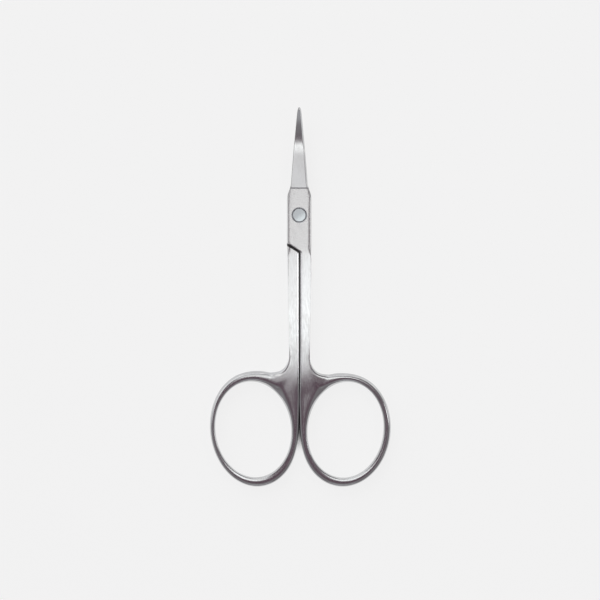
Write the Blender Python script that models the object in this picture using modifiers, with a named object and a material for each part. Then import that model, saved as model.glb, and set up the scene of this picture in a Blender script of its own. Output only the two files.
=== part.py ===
"""Nail scissors with upturned blades, lying on their back face.

Two forged halves cross at a flush rivet. The front half carries the right-hand bow and the back
half the left-hand bow, as on a right-handed pair. +Y runs to the points, +X to the right of
someone who looks at the front face, and +Z out of that face. The rivet's axis is the Z axis and
the scissors lie on z = 0. Every length is in metres.

Each half is made the way it is forged and then milled: a coarse cage of the whole blank, with
Subdivision Surface, and Boolean cuts for the lap and for the rivet's seat.
"""

import math
from collections import namedtuple

import bpy
import bmesh
from mathutils import Matrix, Vector

# Joint: the two laps and the rivet that holds them
LAP_THICKNESS = 0.00125
LAP_GAP = 0.0001
PLATE_WIDTH = 0.0059
PLATE_TOP = 0.0044
STEP_START = 0.0068
STEP_END = 0.0087
STEP_GAP = 0.0005
RIVET_DIAMETER = 0.0021
RIVET_HEAD_DIAMETER = 0.0032
RIVET_HEAD_DEPTH = 0.00055
RIVET_DOME = 0.00014
RIVET_TAIL_DIAMETER = 0.003
RIVET_TAIL_DEPTH = 0.0005
RIVET_CLEARANCE = 0.0001
RIVET_RIM_BREAK = 0.00015
SEAT_RIM_BREAK = 0.00012
RIVET_SIDES = 32

# Blades
BLADE_LENGTH = 0.0257
BLADE_ROOT = 0.0071
BLADE_ROOT_WIDTH = 0.0039
BLADE_POINT_WIDTH = 0.0007
BLADE_NOSE_WIDTH = 0.00025
BLADE_SWELL = 1.12
GRIND_LINE = 0.25
BLADE_BEVEL = 0.0003
BLADE_SPINE_EDGE = 0.00015
BLADE_ROOT_THICKNESS = 0.00105
BLADE_POINT_THICKNESS = 0.00055
BEND_START = 0.0128
BEND_RADIUS = 0.036

# Shanks
SHANK_GAP = 0.00036
SHANK_CHAMFER = 0.0002
SHANK_TOP_WIDTH = 0.0026
SHANK_FOOT_WIDTH = 0.0022

# Bows, with the width of the steel round each finger hole
HANDLE_LENGTH = 0.06445
BOW_THICKNESS = 0.0022
BOW_PAIR_GAP = 0.00012
HOLE_WIDTH = 0.01795
HOLE_LENGTH = 0.0228
HOLE_LEAN = math.radians(7)
RIGHT_OUTER_BAND = 0.00175
RIGHT_PAIR_BAND = 0.0019
RIGHT_TOP_BAND = 0.0019
RIGHT_BOTTOM_BAND = 0.00215
LEFT_OUTER_BAND = 0.0013
LEFT_PAIR_BAND = 0.00185
LEFT_TOP_BAND = 0.0023
LEFT_BOTTOM_BAND = 0.00225

# Web between shank and bow: how far it rises, and its cage's drops and spreads as shares of that
WEB_RISE = 0.003
WEB_PAIR_DROP = 1.4
WEB_OUTER_DROP = 0.9
WEB_OUTER_SPREAD = 0.5
FORK_PAIR_DROP = 0.45
FORK_OUTER_SPREAD = 1.6

# How far the steel has thinned from the shank's thickness to the bow's, at the fork and after it
FORK_THINNING = 0.35
FIRST_THINNING = 0.75

# How softly the blank's edges are rounded, and the crease that keeps a line of the cage crisp
PLATE_EDGE = 0.0003
PLATE_OUTER_EDGE = 0.00045
CORNER_HOLD = 0.0006
FOOT_HOLD = 0.0009
SHANK_EDGE = 0.00034
PLAIN_INSET = 0.00006
ROUND_INSET = 0.00022
ROUND_DROP = 0.0003
EDGE_CREASE = 0.4
FACET_CREASE = 0.8
SMOOTH_LEVELS = 2

# The cage's rows along the blade and the shank, as shares of the way
BLADE_STATIONS = (1.0, 0.97, 0.85, 0.6, 0.3, 0.0)
SHANK_STATIONS = (0.3, 0.65, 0.92)

# The bow's cage: its stations, where the web forks, and how far the cage stands off the ellipse
BOW_STATIONS = 12
BOW_TURN = 2 * math.pi / BOW_STATIONS
BOW_SPLIT = math.radians(135)
HULL = 6 / (4 + 2 * math.cos(BOW_TURN))

THICKNESS = 2 * LAP_THICKNESS + LAP_GAP
MIDDLE = THICKNESS / 2
CUT_MARGIN = 0.002
CUT_STEPS = 16

Bow = namedtuple("Bow", "outer_band pair_band top_band bottom_band")
RIGHT_BOW = Bow(RIGHT_OUTER_BAND, RIGHT_PAIR_BAND, RIGHT_TOP_BAND, RIGHT_BOTTOM_BAND)
LEFT_BOW = Bow(LEFT_OUTER_BAND, LEFT_PAIR_BAND, LEFT_TOP_BAND, LEFT_BOTTOM_BAND)
Row = namedtuple("Row", "left right left_edge right_edge high low roundness facets")
Point = namedtuple("Point", "x y high low roundness facet crease")

# Which side of a row is a facet: the blade's cutting edge, or the shank's side along the gap
CUTTING_SIDE = (0, BLADE_BEVEL)
GAP_SIDE = (SHANK_CHAMFER, 0)
NO_SIDE = (0, 0)


def bent(position):
    """The place of a point of the straight blank after the blades are bent towards the front."""
    if position.y <= BEND_START:
        return position
    angle = (position.y - BEND_START) / BEND_RADIUS
    radius = BEND_RADIUS - (position.z - MIDDLE)
    centre = MIDDLE + BEND_RADIUS
    y = BEND_START + radius * math.sin(angle)
    return Vector((position.x, y, centre - radius * math.cos(angle)))


def blade_rows():
    """Rows of the blade's plan, from its point to the line where its grinding ends."""
    rows = []
    low = MIDDLE - LAP_THICKNESS / 2
    lap = MIDDLE + LAP_GAP / 2
    for t in BLADE_STATIONS:
        along = BLADE_ROOT + t * (BLADE_LENGTH - BLADE_ROOT)
        half = (BLADE_ROOT_WIDTH * (1 - t ** BLADE_SWELL) + BLADE_POINT_WIDTH * t) / 2
        if t == 1:
            half = BLADE_NOSE_WIDTH / 2
        steel = BLADE_ROOT_THICKNESS + t * (BLADE_POINT_THICKNESS - BLADE_ROOT_THICKNESS)
        bevel = min(BLADE_BEVEL, half / 2)
        spine = min(BLADE_SPINE_EDGE, half / 2)
        ends = Vector((-half, along)), Vector((half, along))
        rows.append(Row(*ends, spine, bevel, lap + steel, low, 0, CUTTING_SIDE))
    return rows


def plate_rows():
    """Rows of the lap plate, from the grinding line to the corner where the shank starts."""
    half = PLATE_WIDTH / 2
    root = Vector((BLADE_ROOT_WIDTH / 2, BLADE_ROOT))
    shoulder = Vector((half, PLATE_TOP))
    shank = SHANK_GAP / 2 + SHANK_TOP_WIDTH
    slope = Vector((SHANK_GAP / 2 + half, STEP_START - STEP_END)).normalized()
    corner = Vector((-half, -STEP_START))
    foot = Vector((SHANK_GAP / 2, -STEP_END))
    down = Vector((0, -1))
    ground = MIDDLE + LAP_GAP / 2 + BLADE_ROOT_THICKNESS
    rows = []
    for t, high in ((GRIND_LINE - 0.04, ground), (GRIND_LINE + 0.04, THICKNESS), (1, THICKNESS)):
        end = root.lerp(shoulder, t)
        rows.append(Row(Vector((-end.x, end.y)), end, PLATE_EDGE, PLATE_EDGE, high, 0, 0, NO_SIDE))
    ends = (
        (Vector((-half, PLATE_TOP / 2)), Vector((half, PLATE_TOP / 2))),
        (corner - CORNER_HOLD * down, Vector((half, -0.8 * STEP_START))),
        (corner, Vector((half, -STEP_START))),
        (corner + CORNER_HOLD * slope, Vector((half - PLATE_EDGE / 3, -0.9 * STEP_END))),
        (foot - FOOT_HOLD * slope, Vector((half - PLATE_EDGE / 2, -1.05 * STEP_END))),
        (foot, Vector((shank, -1.2 * STEP_END))),
        (foot + FOOT_HOLD * down, Vector((shank, -1.35 * STEP_END))),
    )
    for left, right in ends:
        below = left.y < foot.y
        edge = SHANK_CHAMFER if below else PLATE_EDGE
        facets = GAP_SIDE if below else NO_SIDE
        rows.append(Row(left, right, edge, PLATE_OUTER_EDGE, THICKNESS, 0, 0, facets))
    return rows


def shank_rows(start, web_start):
    """Rows of the shank, and of the web that spreads from it to the top of the bow."""
    gap = SHANK_GAP / 2
    foot = gap + SHANK_FOOT_WIDTH
    rows = []
    for t in SHANK_STATIONS:
        y = start + t * (web_start - start)
        width = SHANK_TOP_WIDTH + t * (SHANK_FOOT_WIDTH - SHANK_TOP_WIDTH)
        ends = Vector((gap * (1 - 0.1 * t), y)), Vector((gap + width, y))
        rows.append(Row(*ends, SHANK_CHAMFER, SHANK_EDGE, THICKNESS, 0, 0, GAP_SIDE))
    web = (
        (Vector((0.8 * gap, web_start)), Vector((foot, web_start)), 0.1),
        (
            Vector((0.7 * gap, web_start - WEB_PAIR_DROP * WEB_RISE)),
            Vector((foot + WEB_OUTER_SPREAD * WEB_RISE, web_start - WEB_OUTER_DROP * WEB_RISE)),
            0.2,
        ),
    )
    for left, right, roundness in web:
        rows.append(Row(left, right, SHANK_CHAMFER, SHANK_EDGE, THICKNESS, 0, roundness, GAP_SIDE))
    return rows


def bow_edges(bow):
    """The hole's centre, and functions that give the hole's and the bow's edge at an angle."""
    lean = Matrix.Rotation(-HOLE_LEAN, 2)
    a = HOLE_WIDTH / 2
    b = HOLE_LENGTH / 2
    reach = math.hypot(a * math.cos(HOLE_LEAN), b * math.sin(HOLE_LEAN))
    depth = math.hypot(b * math.cos(HOLE_LEAN), a * math.sin(HOLE_LEAN))
    x = BOW_PAIR_GAP / 2 + bow.pair_band + reach
    y = depth + bow.bottom_band - HANDLE_LENGTH
    centre = Vector((x, y))
    shift = Vector((bow.outer_band - bow.pair_band, bow.top_band - bow.bottom_band)) / 2
    wide = a + (bow.outer_band + bow.pair_band) / 2
    tall = b + (bow.top_band + bow.bottom_band) / 2

    def inner(angle):
        return centre + lean @ Vector((a * math.cos(angle), b * math.sin(angle)))

    def outer(angle):
        edge = Vector((wide * math.cos(angle), tall * math.sin(angle)))
        return centre + shift + lean @ edge

    return centre, inner, outer


class Plan:
    """The whole blank seen from the front, as quads that carry the steel's heights."""

    def __init__(self):
        self.bm = bmesh.new()
        self.index = self.bm.verts.layers.int.new("plan")
        self.points = []
        self.last = None

    def add(self, place, high, low, roundness=0, facet=0, crease=0):
        vert = self.bm.verts.new((*place, 0))
        vert[self.index] = len(self.points)
        self.points.append(Point(*place, high, low, roundness, facet, crease))
        return vert

    def stitch(self, verts):
        """Joins these vertices to the last ones by a strip of quads."""
        for a, b, c, d in zip(self.last, self.last[1:], verts[1:], verts):
            self.bm.faces.new((a, b, c, d))
        self.last = verts

    def lay_rows(self, rows):
        """Lays the rows from the point down, each with its two ends, two edges and a middle."""
        left_line = inset([row.left for row in rows], [row.left_edge for row in rows], 1)
        right_line = inset([row.right for row in rows], [row.right_edge for row in rows], -1)
        self.last = []
        for row, left, right in zip(rows, left_line, right_line):
            steel = row.high, row.low
            lines = [FACET_CREASE if facet else 0 for facet in row.facets]
            rims = [line or EDGE_CREASE * (1 - row.roundness) for line in lines]
            self.stitch([
                self.add(row.left, *steel, row.roundness, row.facets[0], rims[0]),
                self.add(left, *steel, crease=lines[0]),
                self.add((left + right) / 2, *steel),
                self.add(right, *steel, crease=lines[1]),
                self.add(row.right, *steel, row.roundness, row.facets[1], rims[1]),
            ])

    def lay_bow(self, centre, inner, outer, top):
        """Splits the web round the finger hole and closes the bow's strip on itself."""
        hub = centre.lerp(inner(BOW_SPLIT), HULL)
        left = Vector((SHANK_GAP / 4, hub.y - FORK_PAIR_DROP * WEB_RISE))
        right = Vector((SHANK_GAP / 2 + SHANK_FOOT_WIDTH + FORK_OUTER_SPREAD * WEB_RISE, top))
        steel = thinned(FORK_THINNING)
        fork = [
            self.add(left, *steel, 0.2, SHANK_CHAMFER, EDGE_CREASE),
            self.add(left.lerp(hub, 0.2), *steel),
            self.add(hub, *steel, 0.5),
            self.add(right.lerp(hub, 0.35), *steel, 0.1),
            self.add(right, *steel, 0.4),
        ]
        self.stitch(fork)
        self.last = fork[:3]
        for k in range(1, BOW_STATIONS):
            near = centre.lerp(inner(BOW_SPLIT + k * BOW_TURN), HULL)
            far = centre.lerp(outer(BOW_SPLIT + k * BOW_TURN), HULL)
            if k <= 2:
                far.x = (2 - k) * BOW_PAIR_GAP / 2
            first = k in (1, BOW_STATIONS - 1)
            steel = thinned(FIRST_THINNING if first else 1)
            places = (far, (near + far) / 2, near)
            self.stitch([self.add(place, *steel, 0.6 if first else 1) for place in places])
        self.stitch([fork[4], fork[3], fork[2]])


def thinned(share):
    """The front and back height of the steel, thinned by this share of the way to the bow's."""
    half = (THICKNESS + share * (BOW_THICKNESS - THICKNESS)) / 2
    return MIDDLE + half, MIDDLE - half


def half_plan(bow):
    plan = Plan()
    centre, inner, outer = bow_edges(bow)
    top = max(outer(BOW_SPLIT - BOW_TURN).y, outer(BOW_SPLIT - 2 * BOW_TURN).y)
    rows = blade_rows() + plate_rows()
    rows += shank_rows(rows[-1].left.y, top + WEB_RISE)
    plan.lay_rows(rows)
    plan.lay_bow(centre, inner, outer, top)
    return plan


def inset(line, distances, side):
    """The line moved sideways by each distance, to the right of its direction for side 1."""
    moved = []
    for k, here in enumerate(line):
        before = line[max(k - 1, 0)]
        after = line[min(k + 1, len(line) - 1)]
        directions = [d.normalized() for d in (here - before, after - here) if d.length > 0]
        normals = [Vector((-d.y, d.x)) * side for d in directions]
        mean = sum(normals, Vector((0, 0))).normalized()
        miter = max(mean.dot(normals[0]), 0.5)
        moved.append(here + mean * distances[k] / miter)
    return moved


def outward(vert):
    """Direction out of the plan at a vertex of its edge."""
    total = Vector((0, 0, 0))
    for edge in vert.link_edges:
        if edge.is_boundary:
            face = edge.link_faces[0]
            along = (edge.verts[1].co - edge.verts[0].co).normalized()
            across = Vector((along.y, -along.x, 0))
            if across.dot(edge.verts[0].co - face.calc_center_median()) < 0:
                across = -across
            total += across
    return total.normalized()


def thicken(plan):
    """Gives the flat plan its thickness, in three levels, with its edges rounded or faceted."""
    bm, index = plan.bm, plan.index
    out = {v[index]: outward(v) for v in bm.verts if v.is_boundary}
    front = set(bm.verts)
    first = bmesh.ops.extrude_face_region(bm, geom=bm.faces[:] + bm.edges[:])
    moving = [g for g in first["geom"] if not isinstance(g, bmesh.types.BMVert)]
    second = bmesh.ops.extrude_face_region(bm, geom=moving)
    back = {g for g in second["geom"] if isinstance(g, bmesh.types.BMVert)}
    for vert in bm.verts:
        point = plan.points[vert[index]]
        side = out.get(vert[index])
        face = 1 if vert in front else -1 if vert in back else 0
        level = {1: point.high, 0: MIDDLE, -1: point.low}[face]
        vert.co = Vector((point.x, point.y, level)) + edge_shift(point, side, face)
    crease_lines(plan, out, (front, back))
    bmesh.ops.recalc_face_normals(bm, faces=bm.faces)


def edge_shift(point, side, face):
    """How a point moves on the front face (1), half way down (0) and on the back face (-1)."""
    if side is None:
        return Vector((0, 0, face * ROUND_DROP / 2 * point.roundness))
    inwards = PLAIN_INSET + point.roundness * ROUND_INSET
    if face == 0:
        return side * inwards / 2
    drop = point.facet or ROUND_DROP * point.roundness
    return Vector((0, 0, -face * drop)) - side * (0 if point.facet else inwards)


def crease_lines(plan, out, faces):
    """Creases the lines of the two faces that stay crisp when the cage is smoothed."""
    crease = plan.bm.edges.layers.float.new("crease_edge")
    for edge in plan.bm.edges:
        a, b = (vert[plan.index] for vert in edge.verts)
        on_face = any(edge.verts[0] in face and edge.verts[1] in face for face in faces)
        if on_face and (a in out) == (b in out):
            edge[crease] = min(plan.points[a].crease, plan.points[b].crease)


def mesh_object(name, bm, collection):
    mesh = bpy.data.meshes.new(name)
    bm.to_mesh(mesh)
    bm.free()
    obj = bpy.data.objects.new(name, mesh)
    collection.objects.link(obj)
    return obj


def turned_over(bm):
    """Turns a front half's shape round the Y axis, so that it becomes a back half's."""
    spin = Matrix.Translation((0, 0, MIDDLE)) @ Matrix.Rotation(math.pi, 4, "Y")
    spin = spin @ Matrix.Translation((0, 0, -MIDDLE))
    bmesh.ops.transform(bm, matrix=spin, verts=bm.verts)


def bend(bm):
    for vert in bm.verts:
        vert.co = bent(vert.co)


def blank(name, bow, over, collection):
    """One forged half before it is milled."""
    plan = half_plan(bow)
    thicken(plan)
    bm = plan.bm
    if over:
        turned_over(bm)
    bend(bm)
    obj = mesh_object(name, bm, collection)
    smooth = obj.modifiers.new("smooth", "SUBSURF")
    smooth.levels = SMOOTH_LEVELS
    smooth.render_levels = SMOOTH_LEVELS
    return obj


def lap_cutter(name, over, collection):
    """Block that takes away the other half's room, up to the slanted step below the plate."""
    bm = bmesh.new()
    bmesh.ops.create_grid(bm, x_segments=1, y_segments=CUT_STEPS, size=1)
    wide = PLATE_WIDTH / 2 + CUT_MARGIN
    run = SHANK_GAP / 2 + PLATE_WIDTH / 2
    fall = STEP_END - STEP_START
    drop = STEP_GAP * math.hypot(run, fall) / run
    end = BLADE_LENGTH + CUT_MARGIN
    for vert in bm.verts:
        t = (vert.co.y + 1) / 2
        x = vert.co.x * wide
        edge = -STEP_START - drop - fall * (PLATE_WIDTH / 2 - x) / run
        y = edge
        if t > 0.5 / CUT_STEPS:
            y = BEND_START + (t - 1 / CUT_STEPS) * (end - BEND_START)
        vert.co = (x, y, MIDDLE + LAP_GAP / 2)
    made = bmesh.ops.extrude_face_region(bm, geom=bm.faces[:] + bm.edges[:])
    for vert in [g for g in made["geom"] if isinstance(g, bmesh.types.BMVert)]:
        vert.co.z -= THICKNESS / 2 + CUT_MARGIN
    bmesh.ops.recalc_face_normals(bm, faces=bm.faces)
    if over:
        turned_over(bm)
    bend(bm)
    return as_cutter(mesh_object(name, bm, collection))


def turned(name, profile, collection):
    """A turned shape round the Z axis from a profile of (radius, height), top to bottom."""
    mesh = bpy.data.meshes.new(name)
    edges = [(k, k + 1) for k in range(len(profile) - 1)]
    mesh.from_pydata([(radius, 0, height) for radius, height in profile], edges, [])
    obj = bpy.data.objects.new(name, mesh)
    collection.objects.link(obj)
    screw = obj.modifiers.new("turn", "SCREW")
    screw.steps = RIVET_SIDES
    screw.render_steps = RIVET_SIDES
    screw.use_merge_vertices = True
    screw.merge_threshold = 0.00001
    return obj


def as_cutter(obj):
    obj.hide_render = True
    obj.display_type = "WIRE"
    return obj


def rivet_profile(clearance):
    """Half section of the rivet, grown by the clearance for its seat."""
    head = RIVET_HEAD_DIAMETER / 2 + clearance
    tail = RIVET_TAIL_DIAMETER / 2 + clearance
    shank = RIVET_DIAMETER / 2 + clearance
    seat = THICKNESS - RIVET_HEAD_DEPTH - clearance
    tail_top = RIVET_TAIL_DEPTH + clearance
    return head, tail, shank, seat, tail_top


def rivet(collection):
    head, tail, shank, seat, tail_top = rivet_profile(0)
    rim = THICKNESS - RIVET_DOME / 2
    turns = [math.radians(degrees) for degrees in (0, 20, 40, 60, 75, 90)]
    crown = head - RIVET_RIM_BREAK
    dome = [(crown * math.sin(turn), rim + RIVET_DOME * math.cos(turn)) for turn in turns]
    side = [(head, rim - RIVET_RIM_BREAK), (head, seat), (shank, seat)]
    profile = dome + side + [(shank, tail_top), (tail, 0), (0, 0)]
    return turned("pivot_rivet", profile, collection)


def seat_cutter(collection):
    """The rivet's seat in both halves: counterbore, hole and countersink."""
    head, tail, shank, seat, tail_top = rivet_profile(RIVET_CLEARANCE)
    above = THICKNESS + CUT_MARGIN
    flare = tail + (tail - shank) / tail_top * CUT_MARGIN
    profile = [
        (0, above),
        (head + SEAT_RIM_BREAK + CUT_MARGIN, above),
        (head, THICKNESS - SEAT_RIM_BREAK),
        (head, seat),
        (shank, seat),
        (shank, tail_top),
        (flare, -CUT_MARGIN),
        (0, -CUT_MARGIN),
    ]
    return as_cutter(turned("rivet_seat_cutter", profile, collection))


def cut(obj, cutter):
    boolean = obj.modifiers.new(cutter.name, "BOOLEAN")
    boolean.operation = "DIFFERENCE"
    boolean.solver = "EXACT"
    boolean.object = cutter


def steel(name, colour, roughness):
    material = bpy.data.materials.new(name)
    material.use_nodes = True
    shader = material.node_tree.nodes["Principled BSDF"]
    shader.inputs["Base Color"].default_value = (*colour, 1)
    shader.inputs["Metallic"].default_value = 1
    shader.inputs["Roughness"].default_value = roughness
    return material


def shade(obj, material):
    obj.data.materials.append(material)
    obj.data.shade_smooth()
    obj.data.set_sharp_from_angle(angle=math.radians(40))


def main():
    for obj in list(bpy.data.objects):
        bpy.data.objects.remove(obj)
    parts = bpy.data.collections.new("nail_scissors")
    cutters = bpy.data.collections.new("cutters")
    bpy.context.scene.collection.children.link(parts)
    bpy.context.scene.collection.children.link(cutters)

    front = blank("front_half", RIGHT_BOW, False, parts)
    back = blank("back_half", LEFT_BOW, True, parts)
    seat = seat_cutter(cutters)
    cut(front, lap_cutter("front_lap_cutter", False, cutters))
    cut(front, seat)
    cut(back, lap_cutter("back_lap_cutter", True, cutters))
    cut(back, seat)
    pin = rivet(parts)

    shade(front, steel("front_steel", (0.62, 0.62, 0.63), 0.28))
    shade(back, steel("back_steel", (0.6, 0.6, 0.61), 0.28))
    shade(pin, steel("rivet_steel", (0.66, 0.67, 0.68), 0.2))


main()
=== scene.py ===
# %% [markdown]
# # Nail scissors with upturned blades
#
# The real pair is two steel forgings that cross at one rivet. The imported model already holds both
# halves and the rivet at their true size, so this lesson keeps that frame and makes finer pieces
# that stand for its nodes: smoother bows, a sharper grind, and steel that shows how it was worked.
#
# The first step loads the frame and notes its box.

# %% Load the imported model
import math
from collections import namedtuple

import bmesh
import bpy
from mathutils import Matrix, Vector


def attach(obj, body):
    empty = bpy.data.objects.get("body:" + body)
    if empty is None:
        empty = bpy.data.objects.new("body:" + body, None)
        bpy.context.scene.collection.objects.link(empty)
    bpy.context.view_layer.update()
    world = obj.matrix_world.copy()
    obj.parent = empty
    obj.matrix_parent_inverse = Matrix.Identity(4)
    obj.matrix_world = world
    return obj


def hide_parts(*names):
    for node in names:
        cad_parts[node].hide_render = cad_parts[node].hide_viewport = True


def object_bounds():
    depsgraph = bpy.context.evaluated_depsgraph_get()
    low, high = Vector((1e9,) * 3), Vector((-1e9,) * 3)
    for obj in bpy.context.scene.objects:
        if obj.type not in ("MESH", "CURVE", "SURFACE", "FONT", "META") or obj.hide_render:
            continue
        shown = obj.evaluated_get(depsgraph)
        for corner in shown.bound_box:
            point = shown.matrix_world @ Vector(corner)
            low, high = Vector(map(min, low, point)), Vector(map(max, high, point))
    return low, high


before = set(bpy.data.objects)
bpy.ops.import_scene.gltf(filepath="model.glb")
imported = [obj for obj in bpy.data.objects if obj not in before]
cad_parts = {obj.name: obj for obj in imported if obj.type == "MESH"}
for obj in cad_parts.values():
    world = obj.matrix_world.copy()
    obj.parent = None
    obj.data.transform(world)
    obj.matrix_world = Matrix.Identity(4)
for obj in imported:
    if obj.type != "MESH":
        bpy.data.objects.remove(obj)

cad_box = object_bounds()
size = cad_box[1] - cad_box[0]
print("nodes:", sorted(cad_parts))
print("box in mm:", [round(1000 * length, 2) for length in size])

# %% [markdown]
# ## Measures
#
# +Y runs to the points, +X to the right of someone who looks at the front, and +Z out of the
# front face. The rivet's axis is the Z axis, and the scissors lie on z = 0. The lengths are those
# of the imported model, in metres, so the finer pieces fit over its nodes. A few differ from it,
# because the reflections in the picture ask for that: the blades' bend, the gap between the shanks
# with its chamfers, and the gap at the step. None of this moves a surface by more than a few tenths
# of a millimetre.

# %% Measures of the joint
LAP_THICKNESS = 0.00125
LAP_GAP = 0.0001
THICKNESS = 2 * LAP_THICKNESS + LAP_GAP
MIDDLE = THICKNESS / 2
PLATE_WIDTH = 0.0059
PLATE_TOP = 0.0044
STEP_START = 0.0068
STEP_END = 0.0087
STEP_GAP = 0.0004
print("joint thickness in mm:", round(1000 * THICKNESS, 2))

# %% Measures of the blades
BLADE_LENGTH = 0.0257
BLADE_ROOT = 0.0071
BLADE_ROOT_WIDTH = 0.0039
BLADE_POINT_WIDTH = 0.0007
BLADE_NOSE_WIDTH = 0.00025
BLADE_SWELL = 1.12
GRIND_LINE = 0.25
BLADE_BEVEL = 0.0003
BLADE_SPINE_EDGE = 0.00015
BLADE_ROOT_THICKNESS = 0.00105
BLADE_POINT_THICKNESS = 0.00055
BEND_START = 0.0128
BEND_RADIUS = 0.03
BEND_EASES = 0.0052
POINT_RADIUS = 0.045
print("blade length in mm:", round(1000 * BLADE_LENGTH, 1), "along the bend")

# %% Measures of the shanks and the bows
SHANK_GAP = 0.00036
GAP_SHIFT = 0.00012
SHANK_CHAMFER = 0.0003
CHAMFER_DEPTH = 0.00013
SHANK_TOP_WIDTH = 0.0026
SHANK_FOOT_WIDTH = 0.0022
HANDLE_LENGTH = 0.06445
BOW_THICKNESS = 0.0022
BOW_PAIR_GAP = 0.00012
HOLE_WIDTH = 0.01795
HOLE_LENGTH = 0.0228
HOLE_LEAN = math.radians(7)
WEB_RISE = 0.003
Bow = namedtuple("Bow", "outer_band pair_band top_band bottom_band gap_side fork_thinning")
RIGHT_BOW = Bow(0.00175, 0.0019, 0.0019, 0.00215, SHANK_GAP / 2 + GAP_SHIFT, 0.43)
LEFT_BOW = Bow(0.0013, 0.00185, 0.0023, 0.00225, SHANK_GAP / 2, 0.33)
print("length in mm:", round(1000 * (BLADE_LENGTH + HANDLE_LENGTH), 1), "along the bend")
print("bow thickness in mm:", round(1000 * BOW_THICKNESS, 1))

# %% [markdown]
# ## The cage of a half
#
# A forged half has hardly a straight line in it: the blade swells, the shank spreads into a web,
# and the web closes on itself as the bow. Filleting a cut-out plate would leave facets there. The
# Subdivision Surface modifier gives such a form from a coarse cage, and polished steel needs its
# even curvature, because every ripple shows in a reflection.
#
# The cage starts flat, as a plan seen from the front. One grid runs from the point down the blade,
# the plate and the shank, nine vertices wide. A second grid, five wide, bends round the finger hole
# as the bow. Each vertex also carries the heights of the steel there, how round its edge is, the
# depth of its facet where it has one, and the crease that keeps a ground line crisp.

# %% A row of the shaft's grid
Row = namedtuple("Row", "left right left_edge right_edge high low roundness facets")
Spot = namedtuple("Spot", "x y high low roundness facet crease")
BLADE_STATIONS = (1.0, 0.97, 0.88, 0.76, 0.64, 0.52, 0.4, 0.3, 0.15, 0.0)
BEVEL_STEEPNESS = 1.2
CUTTING_SIDE = (0, BEVEL_STEEPNESS * BLADE_BEVEL)


def blade_rows():
    """Rows of the blade, from its point to the line where its grinding ends."""
    rows = []
    lap = MIDDLE + LAP_GAP / 2
    low = MIDDLE - LAP_THICKNESS / 2
    for t in BLADE_STATIONS:
        along = BLADE_ROOT + t * (BLADE_LENGTH - BLADE_ROOT)
        half = (BLADE_ROOT_WIDTH * (1 - t ** BLADE_SWELL) + BLADE_POINT_WIDTH * t) / 2
        if t == 1:
            half = BLADE_NOSE_WIDTH / 2
        steel = BLADE_ROOT_THICKNESS + t * (BLADE_POINT_THICKNESS - BLADE_ROOT_THICKNESS)
        bevel = min(BLADE_BEVEL, half / 2)
        spine = min(BLADE_SPINE_EDGE, half / 2)
        ends = Vector((-half, along)), Vector((half, along))
        rows.append(Row(*ends, spine, bevel, lap + steel, low, 0, CUTTING_SIDE))
    return rows


print("blade rows:", len(blade_rows()))


# %% Rows of the lap plate and of the step below it
PLATE_EDGE = 0.0003
PLATE_OUTER_EDGE = 0.0006
PLATE_ROUNDNESS = 0.5
SHANK_ROUNDNESS = 0
CORNER_HOLD = 0.0006
FOOT_HOLD = 0.0005
AHEAD_OF_GRIND_LINE = (-0.05, -0.015)
BEHIND_GRIND_LINE = (0.015, 0.05)
BESIDE_CORNER = 0.8
BESIDE_STEP = (0.9, 1.05, 1.2, 1.35)
GAP_SIDE = (CHAMFER_DEPTH, 0)
NO_SIDE = (0, 0)


def plate_rows(gap):
    """Rows of the plate and of the step, for a half this far from the middle of the pair."""
    half = PLATE_WIDTH / 2
    root = Vector((BLADE_ROOT_WIDTH / 2, BLADE_ROOT))
    shoulder = Vector((half, PLATE_TOP))
    shank = gap + SHANK_TOP_WIDTH
    slope = Vector((SHANK_GAP / 2 + half, STEP_START - STEP_END)).normalized()
    corner = Vector((-half, -STEP_START))
    foot = Vector((gap, -STEP_END))
    down = Vector((0, -1))
    ground = MIDDLE + LAP_GAP / 2 + BLADE_ROOT_THICKNESS
    steps = [(GRIND_LINE + t, ground) for t in AHEAD_OF_GRIND_LINE]
    steps += [(GRIND_LINE + t, THICKNESS) for t in BEHIND_GRIND_LINE] + [(1, THICKNESS)]
    rows = []
    for t, high in steps:
        end = root.lerp(shoulder, t)
        ends = Vector((-end.x, end.y)), end
        facets = CUTTING_SIDE if high == ground else NO_SIDE
        rows.append(Row(*ends, PLATE_EDGE, BLADE_BEVEL, high, 0, PLATE_ROUNDNESS * t, facets))
    beside = [-share * STEP_END for share in BESIDE_STEP]
    ends = (
        (Vector((-half, PLATE_TOP / 2)), Vector((half, PLATE_TOP / 2))),
        (corner - CORNER_HOLD * down, Vector((half, -BESIDE_CORNER * STEP_START))),
        (corner, Vector((half, -STEP_START))),
        (corner + CORNER_HOLD * slope, Vector((half - PLATE_EDGE / 3, beside[0]))),
        (foot - FOOT_HOLD * slope, Vector((half - PLATE_EDGE / 2, beside[1]))),
        (foot, Vector((shank, beside[2]))),
        (foot + FOOT_HOLD * down, Vector((shank, beside[3]))),
    )
    for left, right in ends:
        below = left.y <= foot.y
        edge = SHANK_CHAMFER if below else PLATE_EDGE
        facets = GAP_SIDE if below else NO_SIDE
        roundness = PLATE_ROUNDNESS if right.y > -STEP_END else SHANK_ROUNDNESS
        rows.append(Row(left, right, edge, PLATE_OUTER_EDGE, THICKNESS, 0, roundness, facets))
    return rows


print("plate rows:", len(plate_rows(SHANK_GAP / 2)))

# %% Rows of the shank and of the web
SHANK_EDGE = 0.00022
BOW_EDGE = 0.0006
SHANK_STATIONS = (0.3, 0.65, 0.92)
GAP_NARROWS = 0.1
WEB_GAPS = (0.8, 0.7)
WEB_PAIR_DROP = 1.4
WEB_OUTER_DROP = 0.9
WEB_OUTER_SPREAD = 0.5
WEB_ROUNDNESS = (0.1, 0.75)


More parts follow.
